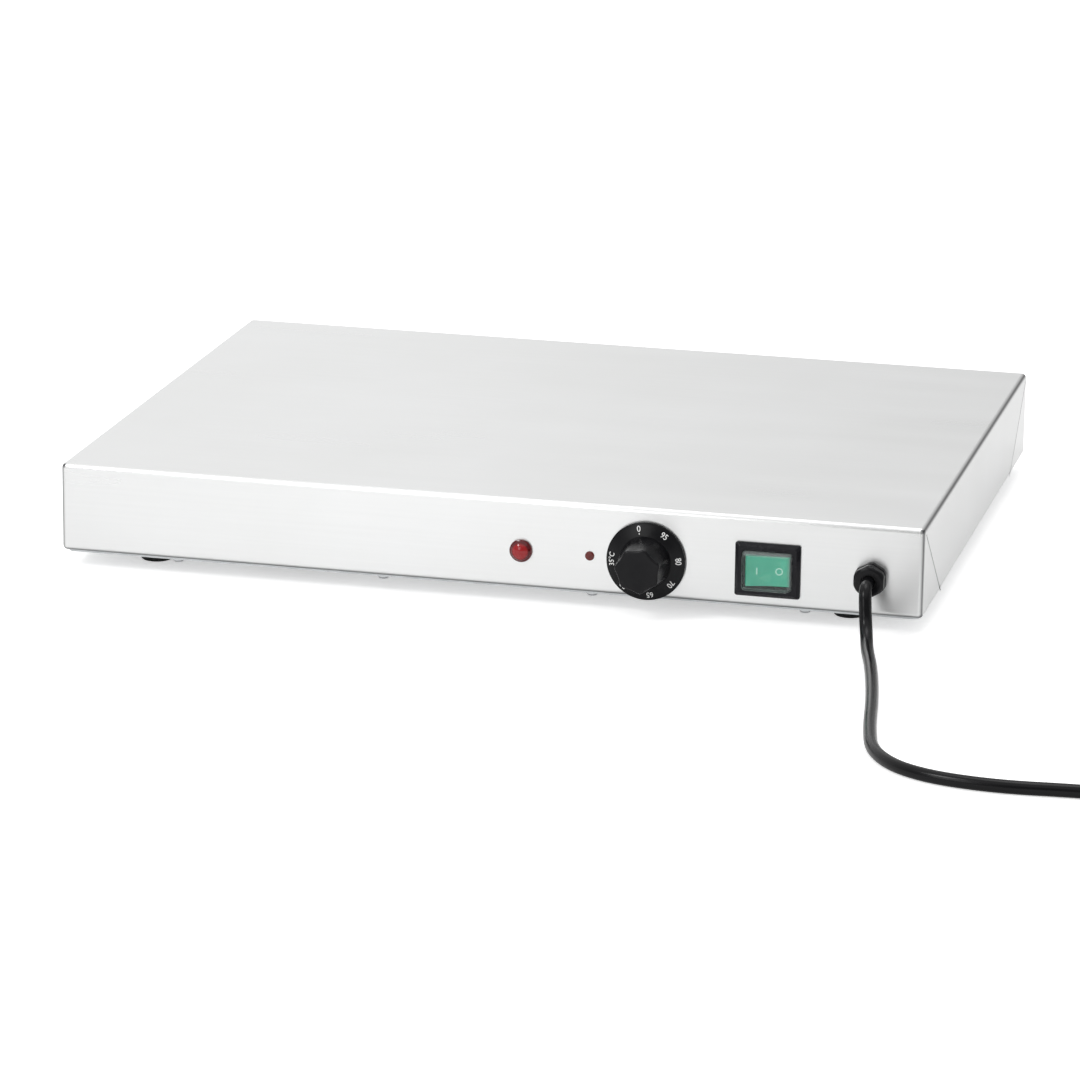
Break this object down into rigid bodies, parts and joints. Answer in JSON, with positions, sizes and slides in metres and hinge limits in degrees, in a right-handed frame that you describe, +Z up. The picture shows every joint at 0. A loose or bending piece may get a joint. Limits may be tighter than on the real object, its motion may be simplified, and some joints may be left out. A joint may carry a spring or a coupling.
{
  "type": "electric warming tray",
  "caption": "Low electric warming tray: a folded brushed-steel hot plate on rubber feet, with a dial thermostat, covered rocker switch, pilot lamp and a mains cord out of the front.",
  "frame": {"origin": "on the surface it stands on, under the middle of the tray's box, dial included and cord left out", "axes": "+X to the right seen from the front, +Y to the back, +Z up; the control panel faces -Y"},
  "size_m": [0.7388, 0.6267, 0.0615],
  "materials": {
    "aluminium": "rolled",
    "black_rubber": "matt",
    "brass": "stamped brass",
    "brushed_steel": "fine horizontal brush",
    "ceramic_white": "unglazed",
    "clear_cap": "clear flexible plastic",
    "copper": "drawn copper",
    "cord_black": "glossy jacket",
    "dial_black": "moulded, satin gloss",
    "index_red": "moulded",
    "lamp_red": "clear tinted lens",
    "mineral_wool": "felted wool",
    "nylon_black": "moulded nylon",
    "phenolic_black": "moulded, satin",
    "rocker_green": "tinted translucent",
    "silicone_red": "silicone",
    "steel_dark": "turned",
    "wire_brown": "insulated lead",
    "wire_green": "insulated lead",
    "wire_white": "glass-braid sleeve",
    "zinc_screw": "bright zinc plate",
    "zinc_sheet": "galvanised sheet"
  },
  "bodies": {
    "tray": {"base_plate": "zinc_sheet", "base_screws": "zinc_screw", "block_screws": "zinc_screw", "capillary_tube": "copper", "clamp_screws": "brass", "cord_coil": "cord_black", "cord_cores": "wire_brown", "cord_inner_end": "cord_black", "cord_run": "cord_black", "cord_tail": "cord_black", "cutout_blades": "brass", "cutout_body": "phenolic_black", "earth_lead": "wire_green", "earth_lug": "brass", "earth_nut": "zinc_screw", "earth_stud": "zinc_screw", "foot_front_left": "black_rubber", "foot_front_right": "black_rubber", "foot_nuts": "zinc_screw", "foot_rear_left": "black_rubber", "foot_rear_right": "black_rubber", "foot_screws": "zinc_screw", "foot_washers": "zinc_screw", "gland_body": "nylon_black", "gland_locknut": "nylon_black", "gland_nut": "nylon_black", "gland_seal": "black_rubber", "heat_spreader": "aluminium", "heater_leads": "wire_white", "heating_mat": "silicone_red", "index_marker": "index_red", "insulation_mat": "mineral_wool", "insulation_tray": "zinc_sheet", "lamp_blades": "brass", "lamp_body": "phenolic_black", "lamp_leads": "wire_white", "lamp_lens": "lamp_red", "lamp_nut": "zinc_screw", "plug_body": "cord_black", "plug_earth_clips": "zinc_screw", "plug_pins": "zinc_screw", "press_nuts": "zinc_screw", "sensor_bulb": "copper", "splash_cap": "clear_cap", "switch_blades": "brass", "switch_frame": "nylon_black", "switch_housing": "nylon_black", "switch_leads": "wire_brown", "terminal_block": "ceramic_white", "thermostat_blades": "brass", "thermostat_body": "phenolic_black", "thermostat_lead": "wire_brown", "thermostat_screws": "zinc_screw", "top_housing": "brushed_steel", "tray_nuts": "zinc_screw", "weld_studs": "zinc_screw"},
    "dial": {"dial_knob": "dial_black", "thermostat_shaft": "steel_dark"},
    "switch_rocker": {"rocker": "rocker_green"}
  },
  "joints": [
    {"name": "dial_turn", "type": "hinge", "parent": "tray", "child": "dial", "pos_m": [0.0935, -0.173, 0.0315], "axis": [0, 1, 0], "range_deg": [-78, 236]},
    {"name": "rocker_tilt", "type": "hinge", "parent": "tray", "child": "switch_rocker", "pos_m": [0.1625, -0.1726, 0.0315], "axis": [0, 0, -1], "range_deg": [0, 20]}
  ]
}
